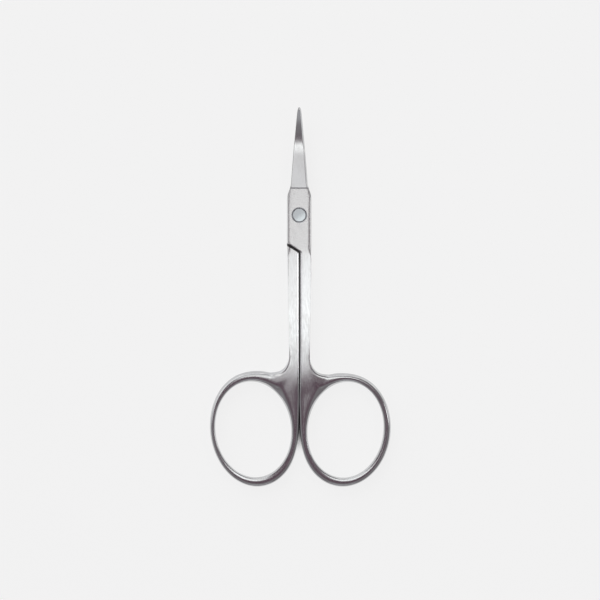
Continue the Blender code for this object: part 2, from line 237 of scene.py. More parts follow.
def shank_rows(gap, start, web_start):
    """Rows from below the step down to the web, and the web's own first two."""
    foot = gap + SHANK_FOOT_WIDTH
    edges = SHANK_CHAMFER, SHANK_EDGE
    rows = []
    for t in SHANK_STATIONS:
        y = start + t * (web_start - start)
        width = SHANK_TOP_WIDTH + t * (SHANK_FOOT_WIDTH - SHANK_TOP_WIDTH)
        ends = Vector((gap * (1 - GAP_NARROWS * t), y)), Vector((gap + width, y))
        rows.append(Row(*ends, *edges, THICKNESS, 0, SHANK_ROUNDNESS, GAP_SIDE))
    first = Vector((WEB_GAPS[0] * gap, web_start)), Vector((foot, web_start))
    second = (
        Vector((WEB_GAPS[1] * gap, web_start - WEB_PAIR_DROP * WEB_RISE)),
        Vector((foot + WEB_OUTER_SPREAD * WEB_RISE, web_start - WEB_OUTER_DROP * WEB_RISE)),
    )
    rows.append(Row(*first, *edges, THICKNESS, 0, WEB_ROUNDNESS[0], GAP_SIDE))
    edges = SHANK_CHAMFER, BOW_EDGE
    rows.append(Row(*second, *edges, THICKNESS, 0, WEB_ROUNDNESS[1], GAP_SIDE))
    return rows


print("shank and web rows:", len(shank_rows(SHANK_GAP / 2, -STEP_END, -HANDLE_LENGTH / 2)))

# %% [markdown]
# ## The bow's two ellipses
#
# The finger hole is an oval that leans outwards, and the steel round it is wider at the top and
# the bottom than at the side. So the hole and the bow's outline are two ellipses with different
# centres. Twelve stations are enough, because a subdivided ring of twelve is round, but it shrinks
# inwards: the cage has to stand a little outside the ellipse that it should give.

# %% The bow's edges
BOW_STATIONS = 12
BOW_TURN = 2 * math.pi / BOW_STATIONS
BOW_SPLIT = math.radians(135)
HULL = 6 / (4 + 2 * math.cos(BOW_TURN))


def bow_edges(bow):
    """The hole's centre, and functions that give the hole's and the bow's edge at an angle."""
    lean = Matrix.Rotation(-HOLE_LEAN, 2)
    a = HOLE_WIDTH / 2
    b = HOLE_LENGTH / 2
    reach = math.hypot(a * math.cos(HOLE_LEAN), b * math.sin(HOLE_LEAN))
    depth = math.hypot(b * math.cos(HOLE_LEAN), a * math.sin(HOLE_LEAN))
    x = BOW_PAIR_GAP / 2 + bow.pair_band + reach
    y = depth + bow.bottom_band - HANDLE_LENGTH
    centre = Vector((x, y))
    shift = Vector((bow.outer_band - bow.pair_band, bow.top_band - bow.bottom_band)) / 2
    wide = a + (bow.outer_band + bow.pair_band) / 2
    tall = b + (bow.top_band + bow.bottom_band) / 2

    def inner(angle):
        return centre + lean @ Vector((a * math.cos(angle), b * math.sin(angle)))

    def outer(angle):
        edge = Vector((wide * math.cos(angle), tall * math.sin(angle)))
        return centre + shift + lean @ edge

    return centre, inner, outer


print("right hole centre in mm:", [round(1000 * c, 2) for c in bow_edges(RIGHT_BOW)[0]])


# %% [markdown]
# ## The spots of the two grids
#
# Polished steel shows where its flats end, so the lines next to each edge matter most: a row's
# second spot and its last but one keep a set distance from the edge, and the five between them
# share out the rest. The web narrows to a point where it forks round the hole, which is why a row
# close above the fork repeats it. Without that row the whole web would lean towards the hole.

# %% Spots of the shaft's grid
EDGE_CREASE = 0.75
FACET_CREASE = 0.8
INNER_STEPS = 6
MITER_LIMIT = 0.5


def inset(line, distances, side):
    """The line moved sideways by each distance, to the right of its direction for side 1."""
    moved = []
    for k, here in enumerate(line):
        before = line[max(k - 1, 0)]
        after = line[min(k + 1, len(line) - 1)]
        directions = [d.normalized() for d in (here - before, after - here) if d.length > 0]
        normals = [Vector((-d.y, d.x)) * side for d in directions]
        mean = sum(normals, Vector((0, 0))).normalized()
        miter = max(mean.dot(normals[0]), MITER_LIMIT)
        moved.append(here + mean * distances[k] / miter)
    return moved


def shaft_spots(rows):
    """Nine spots in each row: its two ends, the lines where its edges begin, and five between."""
    left_line = inset([row.left for row in rows], [row.left_edge for row in rows], 1)
    right_line = inset([row.right for row in rows], [row.right_edge for row in rows], -1)
    spots = []
    for row, left, right in zip(rows, left_line, right_line):
        steel = row.high, row.low
        lines = [FACET_CREASE if facet else 0 for facet in row.facets]
        rims = [line or EDGE_CREASE * (1 - row.roundness) for line in lines]
        rounds = [0 if facet else row.roundness for facet in row.facets]
        line = [Spot(*row.left, *steel, rounds[0], row.facets[0], rims[0])]
        line.append(Spot(*left, *steel, 0, 0, lines[0]))
        line += [Spot(*left.lerp(right, k / INNER_STEPS), *steel, 0, 0, 0)
                 for k in range(1, INNER_STEPS)]
        line.append(Spot(*right, *steel, 0, 0, lines[1]))
        line.append(Spot(*row.right, *steel, rounds[1], row.facets[1], rims[1]))
        spots.append(line)
    return spots


print("spots in a row:", len(shaft_spots(blade_rows())[0]))


# %% Spots of the fork
HUB_SPREAD = 0.0007
FORK_PAIR_DROP = 0.45
FORK_OUTER_SPREAD = 1.6


def thinned(share):
    """The front and back height of the steel, thinned by this share of the way to the bow's."""
    half = (THICKNESS + share * (BOW_THICKNESS - THICKNESS)) / 2
    return MIDDLE + half, MIDDLE - half


def beside(edge, inside, distance):
    """The place at this distance from the edge, on the way inside."""
    return edge + (inside - edge).normalized() * distance


def fork_spots(centre, hub, top, thinning):
    """The row where the web meets the bow, from the pair's side to the outer side."""
    left = Vector((SHANK_GAP / 4, hub.y - FORK_PAIR_DROP * WEB_RISE))
    spread = SHANK_FOOT_WIDTH + FORK_OUTER_SPREAD * WEB_RISE
    right = Vector((SHANK_GAP / 2 + spread, top))
    away = (hub - centre).normalized()
    round_hole = Vector((away.y, -away.x)) * HUB_SPREAD
    steel = thinned(thinning)
    places = (
        (left, 0, CHAMFER_DEPTH, EDGE_CREASE),
        (beside(left, hub, SHANK_CHAMFER), 0, 0, 0),
        (left.lerp(hub, 0.5), 0, 0, 0),
        (hub + away * BOW_EDGE - round_hole, 0, 0, 0),
        (hub, 1, 0, 0),
        (hub + away * BOW_EDGE + round_hole, 0, 0, 0),
        (right.lerp(hub, 0.5) + away * BOW_EDGE / 2, 0, 0, 0),
        (beside(right, hub, BOW_EDGE), 0, 0, 0),
        (right, 1, 0, 0),
    )
    return [Spot(*place, *steel, *edge) for place, *edge in places]


def between(first, second, share):
    """A row of spots on the way from one row to another, with the first one's edges."""
    row = []
    for a, b in zip(first, second):
        place = [p + share * (q - p) for p, q in zip(a[:4], b[:4])]
        row.append(Spot(*place, *a[4:]))
    return row


print("steel at the forks in mm:",
      [round(1000 * (thinned(bow.fork_thinning)[0] - thinned(bow.fork_thinning)[1]), 2)
       for bow in (RIGHT_BOW, LEFT_BOW)])


# %% Spots of the bow's grid
HOLE_EDGE = 0.0004
HOLE_ROUNDNESS = 0.25
SIDE_ROUNDNESS = 0.3
FORK_HOLE_ROUNDNESS = 0.8
CONTACT_ROUNDNESS = 0.4
FIRST_THINNING = 0.8
BOW_CROWN = 0.00006


def crowned(steel):
    """The front and back height of the bow's middle, a little proud of its edges."""
    high, low = steel
    return high + BOW_CROWN, low - BOW_CROWN


def bow_spots(fork, centre, inner, outer):
    """Five spots at each station, from the outline to the hole, from one side of the fork
    round the hole to the other."""
    spots = [fork[:5]]
    for k in range(1, BOW_STATIONS):
        near = centre.lerp(inner(BOW_SPLIT + k * BOW_TURN), HULL)
        far = centre.lerp(outer(BOW_SPLIT + k * BOW_TURN), HULL)
        if k <= 2:
            far.x = (2 - k) * BOW_PAIR_GAP / 2
        first = k in (1, BOW_STATIONS - 1)
        steel = thinned(FIRST_THINNING if first else 1)
        upright = max(math.sin(BOW_SPLIT + k * BOW_TURN), 0)
        edge = SIDE_ROUNDNESS + (1 - SIDE_ROUNDNESS) * upright, 0, 0
        near_edge = (FORK_HOLE_ROUNDNESS if first else HOLE_ROUNDNESS), 0, 0
        pair_edges = {1: (0, CHAMFER_DEPTH, EDGE_CREASE), 2: (CONTACT_ROUNDNESS, 0, 0)}
        far_edge = pair_edges.get(k, edge)
        far_width = {1: SHANK_CHAMFER, 2: PLATE_EDGE}.get(k, BOW_EDGE)
        spots.append([
            Spot(*far, *steel, *far_edge),
            Spot(*beside(far, near, far_width), *steel, 0, 0, 0),
            Spot(*((near + far) / 2), *crowned(steel), 0, 0, 0),
            Spot(*beside(near, far, HOLE_EDGE), *steel, 0, 0, 0),
            Spot(*near, *steel, *near_edge),
        ])
    spots.append(fork[:3:-1])
    return spots


print("bow thickness at its middle in mm:",
      round(1000 * (crowned(thinned(1))[0] - crowned(thinned(1))[1]), 2))

# %% [markdown]
# ## Two grids, welded
#
# `create_grid` gives the quads, and each vertex is then moved to its spot. The bow's first row and
# its last lie exactly on the fork's row, so `remove_doubles` joins the two grids there. What a
# vertex carries sits in layers of the bmesh, where an extrusion copies it along.

# %% Lay the plan
CARRIED = ("high", "low", "roundness", "facet", "crease")
HOLD_ABOVE_FORK = 0.85
WELD = 0.000001


def lay_grid(bm, spots):
    """A grid of quads with its vertices on these rows of spots."""
    rows = len(spots) - 1
    columns = len(spots[0]) - 1
    made = bmesh.ops.create_grid(bm, x_segments=columns, y_segments=rows, size=1)
    for vert in made["verts"]:
        column = round((vert.co.x + 1) / 2 * columns)
        row = round((1 - vert.co.y) / 2 * rows)
        spot = spots[row][column]
        vert.co = (spot.x, spot.y, 0)
        for name in CARRIED:
            vert[bm.verts.layers.float[name]] = getattr(spot, name)


def half_plan(bow):
    """The plan of one half, flat, as quads."""
    centre, inner, outer = bow_edges(bow)
    top = max(outer(BOW_SPLIT - BOW_TURN).y, outer(BOW_SPLIT - 2 * BOW_TURN).y)
    rows = blade_rows() + plate_rows(bow.gap_side)
    rows += shank_rows(bow.gap_side, rows[-1].left.y, top + WEB_RISE)
    shaft = shaft_spots(rows)
    hub = centre.lerp(inner(BOW_SPLIT), HULL)
    fork = fork_spots(centre, hub, top, bow.fork_thinning)
    shaft += [between(shaft[-1], fork, HOLD_ABOVE_FORK), fork]
    bm = bmesh.new()
    for name in CARRIED:
        bm.verts.layers.float.new(name)
    lay_grid(bm, shaft)
    lay_grid(bm, bow_spots(fork, centre, inner, outer))
    bmesh.ops.remove_doubles(bm, verts=bm.verts, dist=WELD)
    return bm


plan = half_plan(RIGHT_BOW)
print("plan:", len(plan.verts), "vertices,", len(plan.faces), "quads")
plan.free()

# %% [markdown]
# ## Thickness
#
# Two extrusions give three levels: the front, the middle and the back. The front and back levels
# draw in at the edge and drop there, by little along the shank, where the edge is only broken, and
# by more round the bow's upper outside, so that it doesn't press into a finger. Two edges are flat
# facets instead: the cutting edge's bevel, and the narrow chamfers that face each other across the
# gap between the shanks. The creases keep both sides of a facet crisp when the cage is smoothed.

# %% Move the edge's vertices
PLAIN_INSET = 0.00006
ROUND_INSET = 0.0003
ROUND_DROP = 0.00034


def outward(vert):
    """Direction out of the plan at a vertex of its edge."""
    total = Vector((0, 0, 0))
    for edge in vert.link_edges:
        if edge.is_boundary:
            face = edge.link_faces[0]
            along = (edge.verts[1].co - edge.verts[0].co).normalized()
            across = Vector((along.y, -along.x, 0))
            if across.dot(edge.verts[0].co - face.calc_center_median()) < 0:
                across = -across
            total += across
    return total.normalized()


def edge_shift(side, face, roundness, facet):
    """How the edge moves on the front face (1), half way down (0) and on the back face (-1)."""
    inwards = PLAIN_INSET + roundness * ROUND_INSET
    if face == 0:
        return side * inwards / 2
    drop = facet or ROUND_DROP * roundness
    return Vector((0, 0, -face * drop)) - side * (0 if facet else inwards)


shift = edge_shift(Vector((1, 0, 0)), 1, 1, 0)
print("a round edge moves by", [round(1000 * length, 2) for length in shift], "mm")


# %% Thicken the plan
def thicken(bm):
    """Makes a closed cage of the flat plan."""
    face = bm.verts.layers.int.new("face")
    rim = bm.verts.layers.int.new("rim")
    side_x = bm.verts.layers.float.new("side_x")
    side_y = bm.verts.layers.float.new("side_y")
    for vert in bm.verts:
        vert[face] = 1
        vert[rim] = vert.is_boundary
        if vert.is_boundary:
            vert[side_x], vert[side_y] = outward(vert).xy
    geom = bm.faces[:] + bm.edges[:]
    for level in (0, -1):
        made = bmesh.ops.extrude_face_region(bm, geom=geom)["geom"]
        for vert in [g for g in made if isinstance(g, bmesh.types.BMVert)]:
            vert[face] = level
        geom = [g for g in made if not isinstance(g, bmesh.types.BMVert)]
    high, low, roundness, facet, crease = (bm.verts.layers.float[name] for name in CARRIED)
    for vert in bm.verts:
        vert.co.z = {1: vert[high], 0: MIDDLE, -1: vert[low]}[vert[face]]
        if vert[rim]:
            side = Vector((vert[side_x], vert[side_y], 0))
            vert.co += edge_shift(side, vert[face], vert[roundness], vert[facet])
    line = bm.edges.layers.float.new("crease_edge")
    for edge in bm.edges:
        a, b = edge.verts
        if a[face] and a[face] == b[face] and a[rim] == b[rim]:
            edge[line] = min(a[crease], b[crease])
    bmesh.ops.recalc_face_normals(bm, faces=bm.faces)


cage = half_plan(LEFT_BOW)
thicken(cage)
print("cage:", len(cage.verts), "vertices, open edges:", sum(e.is_boundary for e in cage.edges))
cage.free()

# %% [markdown]
# ## Bend, turn over and smooth
#
# The blades turn up towards the front, so both halves bend the same way, but the back half is the
# front half turned over first. The bend is worked out on the cage, and the smoothing then runs
# evenly through it.

# %% Bend the blade and turn a half over
def on_bend(y):
    """Where the middle of the steel at this y comes to lie, and the angle at which it runs."""
    first = BEND_EASES / BEND_RADIUS
    beyond = y - BEND_START
    angle = min(beyond, BEND_EASES) / BEND_RADIUS
    new_y = BEND_START + BEND_RADIUS * math.sin(angle)
    new_z = MIDDLE + BEND_RADIUS * (1 - math.cos(angle))
    if beyond > BEND_EASES:
        angle = first + (beyond - BEND_EASES) / POINT_RADIUS
        new_y += POINT_RADIUS * (math.sin(angle) - math.sin(first))
        new_z += POINT_RADIUS * (math.cos(first) - math.cos(angle))
    return new_y, new_z, angle


def bend(bm):
    """Bends the steel ahead of the joint towards the front: more at first, less to the point."""
    for vert in bm.verts:
        if vert.co.y > BEND_START:
            y, z, angle = on_bend(vert.co.y)
            above = vert.co.z - MIDDLE
            vert.co.y = y - above * math.sin(angle)
            vert.co.z = z + above * math.cos(angle)


def turn_over(bm):
    turn = Matrix.Rotation(math.pi, 3, "Y")
    bmesh.ops.rotate(bm, cent=(0, 0, MIDDLE), matrix=turn, verts=bm.verts)


print("the points rise by", round(1000 * (on_bend(BLADE_LENGTH)[1] - MIDDLE), 2), "mm")

# %% Make the blank of a half
SMOOTH_LEVELS = 3


def object_from(bm, name):
    """An object of this name, in the scene, with the bmesh as its mesh."""
    mesh = bpy.data.meshes.new(name)
    bm.to_mesh(mesh)
    bm.free()
    obj = bpy.data.objects.new(name, mesh)
    bpy.context.scene.collection.objects.link(obj)
    return obj


def blank(name, bow, over):
    """One forged half before it is milled."""
    bm = half_plan(bow)
    thicken(bm)
    if over:
        turn_over(bm)
    bend(bm)
    obj = object_from(bm, name)
    smooth = obj.modifiers.new("smooth", "SUBSURF")
    smooth.levels = SMOOTH_LEVELS
    smooth.render_levels = SMOOTH_LEVELS
    return obj


front = blank("front_blade_and_right_bow", RIGHT_BOW, False)
back = blank("back_blade_and_left_bow", LEFT_BOW, True)
print("cage faces of a half:", len(front.data.polygons))

# %% [markdown]
# ## Milling the lap
#
# A mill takes half the thickness away ahead of a slanted shoulder, so that the other half's plate
# fits there. A Boolean does the same: its cutter is a block, bent like the blades, that ends along
# the shoulder. The block is one grid, laid along the lap and extruded down.

# %% The lap's cutter
CUT_MARGIN = 0.002
CUT_STEPS = 48


def lap_cutter(over):
    """A block that fills the room of the other half's lap, up to the slanted shoulder."""
    bm = bmesh.new()
    bmesh.ops.create_grid(bm, x_segments=1, y_segments=CUT_STEPS, size=1)
    wide = PLATE_WIDTH / 2 + CUT_MARGIN
    run = SHANK_GAP / 2 + PLATE_WIDTH / 2
    fall = STEP_END - STEP_START
    drop = STEP_GAP * math.hypot(run, fall) / run
    end = BLADE_LENGTH + CUT_MARGIN
    for vert in bm.verts:
        t = (vert.co.y + 1) / 2
        x = vert.co.x * wide
        y = -STEP_START - drop - fall * (PLATE_WIDTH / 2 - x) / run
        if t > 0.5 / CUT_STEPS:
            y = BEND_START + (t - 1 / CUT_STEPS) * (end - BEND_START)
        vert.co = (x, y, MIDDLE + LAP_GAP / 2)
    made = bmesh.ops.extrude_face_region(bm, geom=bm.faces[:] + bm.edges[:])["geom"]
    lower = [g for g in made if isinstance(g, bmesh.types.BMVert)]
    bmesh.ops.translate(bm, vec=(0, 0, -THICKNESS / 2 - CUT_MARGIN), verts=lower)
    bmesh.ops.recalc_face_normals(bm, faces=bm.faces)
    if over:
        turn_over(bm)
    bend(bm)
    return object_from(bm, "lap_cutter")


front_lap = lap_cutter(False)
back_lap = lap_cutter(True)
print("cutter faces:", len(front_lap.data.polygons))

# %% [markdown]
# ## The rivet and its seat
#
# The rivet holds the pair together. Its head sits flush in a counterbore of the front plate, and
# its tail is hammered into a countersink at the back. Both the rivet and the tool that cuts its
# seat are turned shapes, so each is a profile of a few points that `spin` sweeps round the axis.

# %% The rivet's measures
RIVET_DIAMETER = 0.0021
RIVET_HEAD_DIAMETER = 0.0032
RIVET_HEAD_DEPTH = 0.00055
RIVET_DOME = 0.000035
DOME_STEPS = 12
RIVET_TAIL_DIAMETER = 0.003
RIVET_TAIL_DEPTH = 0.0005
RIVET_CLEARANCE = 0.0001
RIVET_RIM_BREAK = 0.00015
SEAT_RIM_BREAK = 0.00012
print("rivet head in mm:", round(1000 * RIVET_HEAD_DIAMETER, 1))

# %% Turn a profile, and cut the seat with one
ROUND_STEPS = 96


def turned(name, profile):
    """A solid turned round the Z axis from a profile of (radius, height), top to bottom."""
    bm = bmesh.new()
    chain = [bm.verts.new((radius, 0, height)) for radius, height in profile]
    edges = [bm.edges.new(pair) for pair in zip(chain, chain[1:])]
    bmesh.ops.spin(
        bm, geom=chain + edges, cent=(0, 0, 0), axis=(0, 0, 1),
        angle=2 * math.pi, steps=ROUND_STEPS, use_merge=True,
    )
    bmesh.ops.remove_doubles(bm, verts=bm.verts, dist=WELD)
    bmesh.ops.recalc_face_normals(bm, faces=bm.faces)
    return object_from(bm, name)


def seat_cutter():
    """The tool that cuts the counterbore, the hole and the countersink in one go."""
    head = RIVET_HEAD_DIAMETER / 2 + RIVET_CLEARANCE
    shank = RIVET_DIAMETER / 2 + RIVET_CLEARANCE
    tail = RIVET_TAIL_DIAMETER / 2 + RIVET_CLEARANCE
    seat = THICKNESS - RIVET_HEAD_DEPTH - RIVET_CLEARANCE
    tail_top = RIVET_TAIL_DEPTH + RIVET_CLEARANCE
    flare = tail + (tail - shank) / tail_top * CUT_MARGIN
    profile = [
        (0, THICKNESS + CUT_MARGIN),
        (head + SEAT_RIM_BREAK + CUT_MARGIN, THICKNESS + CUT_MARGIN),
        (head, THICKNESS - SEAT_RIM_BREAK),
        (head, seat),
        (shank, seat),
        (shank, tail_top),
        (flare, -CUT_MARGIN),
        (0, -CUT_MARGIN),
    ]
    return turned("seat_cutter", profile)


seat = seat_cutter()
print("seat cutter faces:", len(seat.data.polygons))

# %% [markdown]
# ## Mill and finish the shapes
#
# The Boolean modifiers are turned into mesh at once, because the finish reads the milled faces.
# The exact solver keeps the thin edges of the lap whole. Smooth shading with a limit comes after
# it: the curved forms then reflect evenly, and the edges that the mill left stay sharp.

# %% Mill both halves
SHARP_ANGLE = math.radians(32)


def mill(obj, cutters):
    """Cuts the half and keeps the result as its mesh."""
    for cutter in cutters:
        boolean = obj.modifiers.new(cutter.name, "BOOLEAN")
        boolean.operation = "DIFFERENCE"
        boolean.solver = "EXACT"
        boolean.object = cutter
    depsgraph = bpy.context.evaluated_depsgraph_get()
    milled = bpy.data.meshes.new_from_object(obj.evaluated_get(depsgraph))
    obj.modifiers.clear()
    obj.data = milled
    obj.data.shade_smooth()
    obj.data.set_sharp_from_angle(angle=SHARP_ANGLE)


mill(front, (front_lap, seat))
mill(back, (back_lap, seat))
for cutter in (seat, front_lap, back_lap):
    bpy.data.objects.remove(cutter)
print("faces:", len(front.data.polygons), len(back.data.polygons))

# %% Turn the rivet
head = RIVET_HEAD_DIAMETER / 2
crown = head - RIVET_RIM_BREAK
dome = [(crown * step / DOME_STEPS, THICKNESS + RIVET_DOME * (1 - (step / DOME_STEPS) ** 2))
        for step in range(DOME_STEPS + 1)]
rivet = turned("rivet", dome + [
    (head, THICKNESS - RIVET_RIM_BREAK),
    (head, THICKNESS - RIVET_HEAD_DEPTH),
    (RIVET_DIAMETER / 2, THICKNESS - RIVET_HEAD_DEPTH),
    (RIVET_DIAMETER / 2, RIVET_TAIL_DEPTH),
    (RIVET_TAIL_DIAMETER / 2, 0),
    (0, 0),
])
rivet.data.shade_smooth()
rivet.data.set_sharp_from_angle(angle=SHARP_ANGLE)
print("rivet faces:", len(rivet.data.polygons))

# %% [markdown]
# ## Nodes for the steel
#
# A steel surface is one metal with many finishes: the plate is ground on a belt, the blades, the
# shanks and the bows are polished on a felt wheel, and what no tool reaches stays unpolished, with
# a dark colour painted there as shade. All of it is procedural and reads Object coordinates, turned
# into millimetres, so that every scale below is a real one. A few helpers keep the node code short:
# one adds a node and plugs in its inputs, one grades a value smoothly between two limits, and the
# others combine two values or two colours.

# %% Helpers for the nodes
def add(tree, kind, inputs=(), **settings):
    """A node with its settings, its inputs set to numbers or linked to sockets."""
    node = tree.nodes.new("ShaderNode" + kind)
    for name, value in settings.items():
        setattr(node, name, value)
    for key, value in dict(inputs).items():
        if isinstance(value, bpy.types.NodeSocket):
            tree.links.new(value, node.inputs[key])
        else:
            node.inputs[key].default_value = value
    return node


def graded(tree, value, start, end, low=0, high=1):
    """The value graded smoothly, from low at its start to high at its end."""
    node = add(tree, "MapRange", {"Value": value}, interpolation_type="SMOOTHSTEP")
    for key, number in (("From Min", start), ("From Max", end), ("To Min", low), ("To Max", high)):
        node.inputs[key].default_value = number
    return node.outputs["Result"]


def combined(tree, operation, first, second=0):
    node = add(tree, "Math", {0: first, 1: second}, operation=operation)
    return node.outputs["Value"]


def product(tree, first, *others):
    for other in others:
        first = combined(tree, "MULTIPLY", first, other)
    return first


# %% Helpers that lay one thing over another
COLOUR_UNDER = 6
COLOUR_OVER = 7
COLOUR_RESULT = 2


def laid_over(tree, under, share, colour):
    """A colour with another one laid over it where the share says so."""
    inputs = {"Factor": share, COLOUR_UNDER: under, COLOUR_OVER: colour}
    return add(tree, "Mix", inputs, data_type="RGBA").outputs[COLOUR_RESULT]


def mixed(tree, share, first, second):
    """A number between two, nearer to the second the larger the share."""
    node = add(tree, "Mix", {"Factor": share, "A": first, "B": second}, data_type="FLOAT")
    return node.outputs["Result"]


# %% [markdown]
# ## Where each finish is
#
# The masks come first. The satin zone is the plate, from the step up to the grinding line. The
# unpolished zone is what a wheel doesn't reach: the lap's face, which points at the other half, the
# walls of the gap between the shanks, and the step. It is rough, and its dark colour is painted
# shade in these recesses and between the parts. The lap's face is found by its normal and its
# depth, and the walls by their tilt and where they are. Along the grinding line, where the ground
# face steps up to the plate, a thin dark line is painted shade in that crease. The rims on both
# sides of the rivet's seam are pale and rough, and edges that rub in the hand are lighter.

# %% Limits of the finishes, in millimetres or as a share of the normal
MILLIMETRES = 1000
SATIN_BEGINS = (-11, -7.5)
GRIND_LINE_Y = 6.42
SATIN_ENDS = (GRIND_LINE_Y + 0.1, GRIND_LINE_Y - 0.1)
# Reach of the painted shade in the crease along the grinding line
GRIND_LINE_SHADE_REACH = (0.16, 0.1)
RING_INSIDE = (1.45, 1.5)
RING_OUTSIDE = (1.91, 1.86)
WALL_TILT = (0.5, 0.3)
GAP_REACH = (0.4, 0.3)
GAP_BEGINS = (-50, -44)
STEP_REACH = (2.8, 2.7)
STEP_BEGINS = (-10, -9.8)
LAP_TILT = (0.3, 0.6)
LAP_DEPTH = (0.7, 0.6)
PLATE_BEGINS = (-6.6, -6.5)
LAP_BEGINS = (-9.7, -9.6)
EDGE_WEAR = (0.515, 0.56)
print("grinding line at", GRIND_LINE_Y, "mm")


# %% Masks of what no wheel reaches, whose dark colour is painted shade
def places(tree):
    """Object coordinates in millimetres, whole and by axis, and the surface's own direction."""
    coordinates = add(tree, "TexCoord")
    scaled = add(tree, "VectorMath", {0: coordinates.outputs["Object"]}, operation="SCALE")
    scaled.inputs["Scale"].default_value = MILLIMETRES
    place = scaled.outputs["Vector"]
    spot = add(tree, "SeparateXYZ", {0: place}).outputs
    normal = add(tree, "SeparateXYZ", {0: coordinates.outputs["Normal"]}).outputs
    return place, spot, normal


# The steel here is rough and unpolished, and its dark colour is painted shade in the gap, at the
# step and between the laps
def dull_and_shade_mask(tree, spot, normal, lap_side):
    """1 where no wheel reaches, for a half whose lap face points up (1) or down (-1)."""
    away = combined(tree, "ABSOLUTE", spot["X"])
    wall = graded(tree, combined(tree, "ABSOLUTE", normal["Z"]), *WALL_TILT)
    in_gap = product(tree, graded(tree, away, *GAP_REACH), wall,
                     graded(tree, spot["Y"], *GAP_BEGINS))
    at_step = product(tree, graded(tree, away, *STEP_REACH), wall,
                      graded(tree, spot["Y"], *STEP_BEGINS))
    from_middle = combined(tree, "SUBTRACT", spot["Z"], MILLIMETRES * MIDDLE)
    from_middle = combined(tree, "ABSOLUTE", from_middle)
    milled = combined(tree, "MAXIMUM", graded(tree, from_middle, *LAP_DEPTH),
                      graded(tree, spot["Y"], *PLATE_BEGINS))
    facing = combined(tree, "MULTIPLY", normal["Z"], lap_side)
    on_lap = product(tree, milled, graded(tree, spot["Y"], *LAP_BEGINS),
                     graded(tree, facing, *LAP_TILT))
    return combined(tree, "MAXIMUM", in_gap, combined(tree, "MAXIMUM", at_step, on_lap))


# %% Masks of the satin, the wear and the painted shade at the grinding line
Masks = namedtuple("Masks", "satin worn foot ring dull")


def ring_mask(tree, spot):
    """1 on the rims on both sides of the rivet's seam."""
    square = combined(tree, "ADD", combined(tree, "POWER", spot["X"], 2),
                      combined(tree, "POWER", spot["Y"], 2))
    radius = combined(tree, "SQRT", square)
    return product(tree, graded(tree, radius, *RING_INSIDE), graded(tree, radius, *RING_OUTSIDE))


def finish_masks(tree, spot, normal, lap_side):
    """Where each finish is. The rivet, which has no lap side, is polished all over."""
    is_half = abs(lap_side)
    satin = product(tree, graded(tree, spot["Y"], *SATIN_BEGINS),
                    graded(tree, spot["Y"], *SATIN_ENDS), is_half)
    bulge = add(tree, "NewGeometry").outputs["Pointiness"]
    worn = product(tree, graded(tree, bulge, *EDGE_WEAR), is_half)
    # A thin line of painted shade in the crease where the ground face steps up at the grinding line
    foot = combined(tree, "SUBTRACT", spot["Y"], GRIND_LINE_Y)
    foot = graded(tree, combined(tree, "ABSOLUTE", foot), *GRIND_LINE_SHADE_REACH)
    dull = dull_and_shade_mask(tree, spot, normal, lap_side)
    return Masks(satin, worn, foot, ring_mask(tree, spot), dull)


# %% [markdown]
# ## Grind lines, polish and wear
#
# A belt leaves fine lines across the plate. Noise that is stretched hard in X gives them: it
# changes quickly along the plate and hardly at all across it. The wheel leaves a softer, wavier
# grain along the blades, the shanks and the bows, and a few hairline scratches. Each pattern drives
# the roughness and the bump together, because a groove both scatters light and casts a shadow.

# %% Patterns in the steel
NOISE_ROUGHNESS = 0.6
GRIND_LINES = {"stretch": (0.3, 14, 14), "scale": 1.4, "detail": 3}
FELT_GRAIN = {"stretch": (5, 0.6, 5), "scale": 1.1, "detail": 3}
TARNISH_PATCHES = {"stretch": (1, 0.5, 1), "scale": 0.35, "detail": 3}
HAIRLINE_BREAKS = {"stretch": (1, 1, 1), "scale": 0.35, "detail": 2}
HAIRLINE_WAVES = 0.3
HAIRLINE_CELLS = 0.22
HAIRLINE_WIDTH = (0.006, 0.0015)
HAIRLINE_ENDS = (0.52, 0.6)


def pattern(tree, place, stretch, scale, detail):
    """Noise of this scale per millimetre, stretched along the axes."""
    stretched = add(tree, "VectorMath", {0: place, 1: stretch}, operation="MULTIPLY")
    noise = add(tree, "TexNoise", {"Vector": stretched.outputs["Vector"], "Scale": scale,
                                   "Detail": detail, "Roughness": NOISE_ROUGHNESS})
    return noise.outputs["Fac"]


def scratches(tree, place):
    """Hairlines: 1 in thin lines of a Voronoi edge, broken up by noise, and 0 elsewhere."""
    wavy = add(tree, "TexNoise", {"Vector": place, "Scale": HAIRLINE_WAVES, "Detail": 1})
    bent = add(tree, "VectorMath", {0: place, 1: wavy.outputs["Color"]}, operation="ADD")
    cells = add(tree, "TexVoronoi", {"Vector": bent.outputs["Vector"], "Scale": HAIRLINE_CELLS},
                feature="DISTANCE_TO_EDGE")
    line = graded(tree, cells.outputs["Distance"], *HAIRLINE_WIDTH)
    broken = graded(tree, pattern(tree, place, **HAIRLINE_BREAKS), *HAIRLINE_ENDS)
    return product(tree, line, broken)


# %% [markdown]
# ## The steel
#
# The colour starts as two tones of steel in soft patches of a few millimetres, because handled
# steel is never quite even. The finishes are then laid over it one by one: the ground plate, the
# rubbed edges, the painted shade along the grinding line, the pale rims at the rivet and, last, the
# unpolished walls, whose dark colour is painted shade too. The last function puts colour, roughness
# and relief on one shader, and is called once for each piece.

# %% Colour of the steel
BRIGHT = (0.63, 0.635, 0.645, 1)
TARNISHED = (0.58, 0.58, 0.585, 1)
RIVET_BRIGHT = (0.5, 0.53, 0.55, 1)
RIVET_TARNISHED = (0.45, 0.48, 0.5, 1)
GROUND = (0.77, 0.77, 0.77, 1)
WORN = (0.74, 0.74, 0.74, 1)
# Painted shade in the crease along the grinding line
GRIND_LINE_SHADE = (0.35, 0.34, 0.36, 1)
RING = (0.85, 0.87, 0.89, 1)
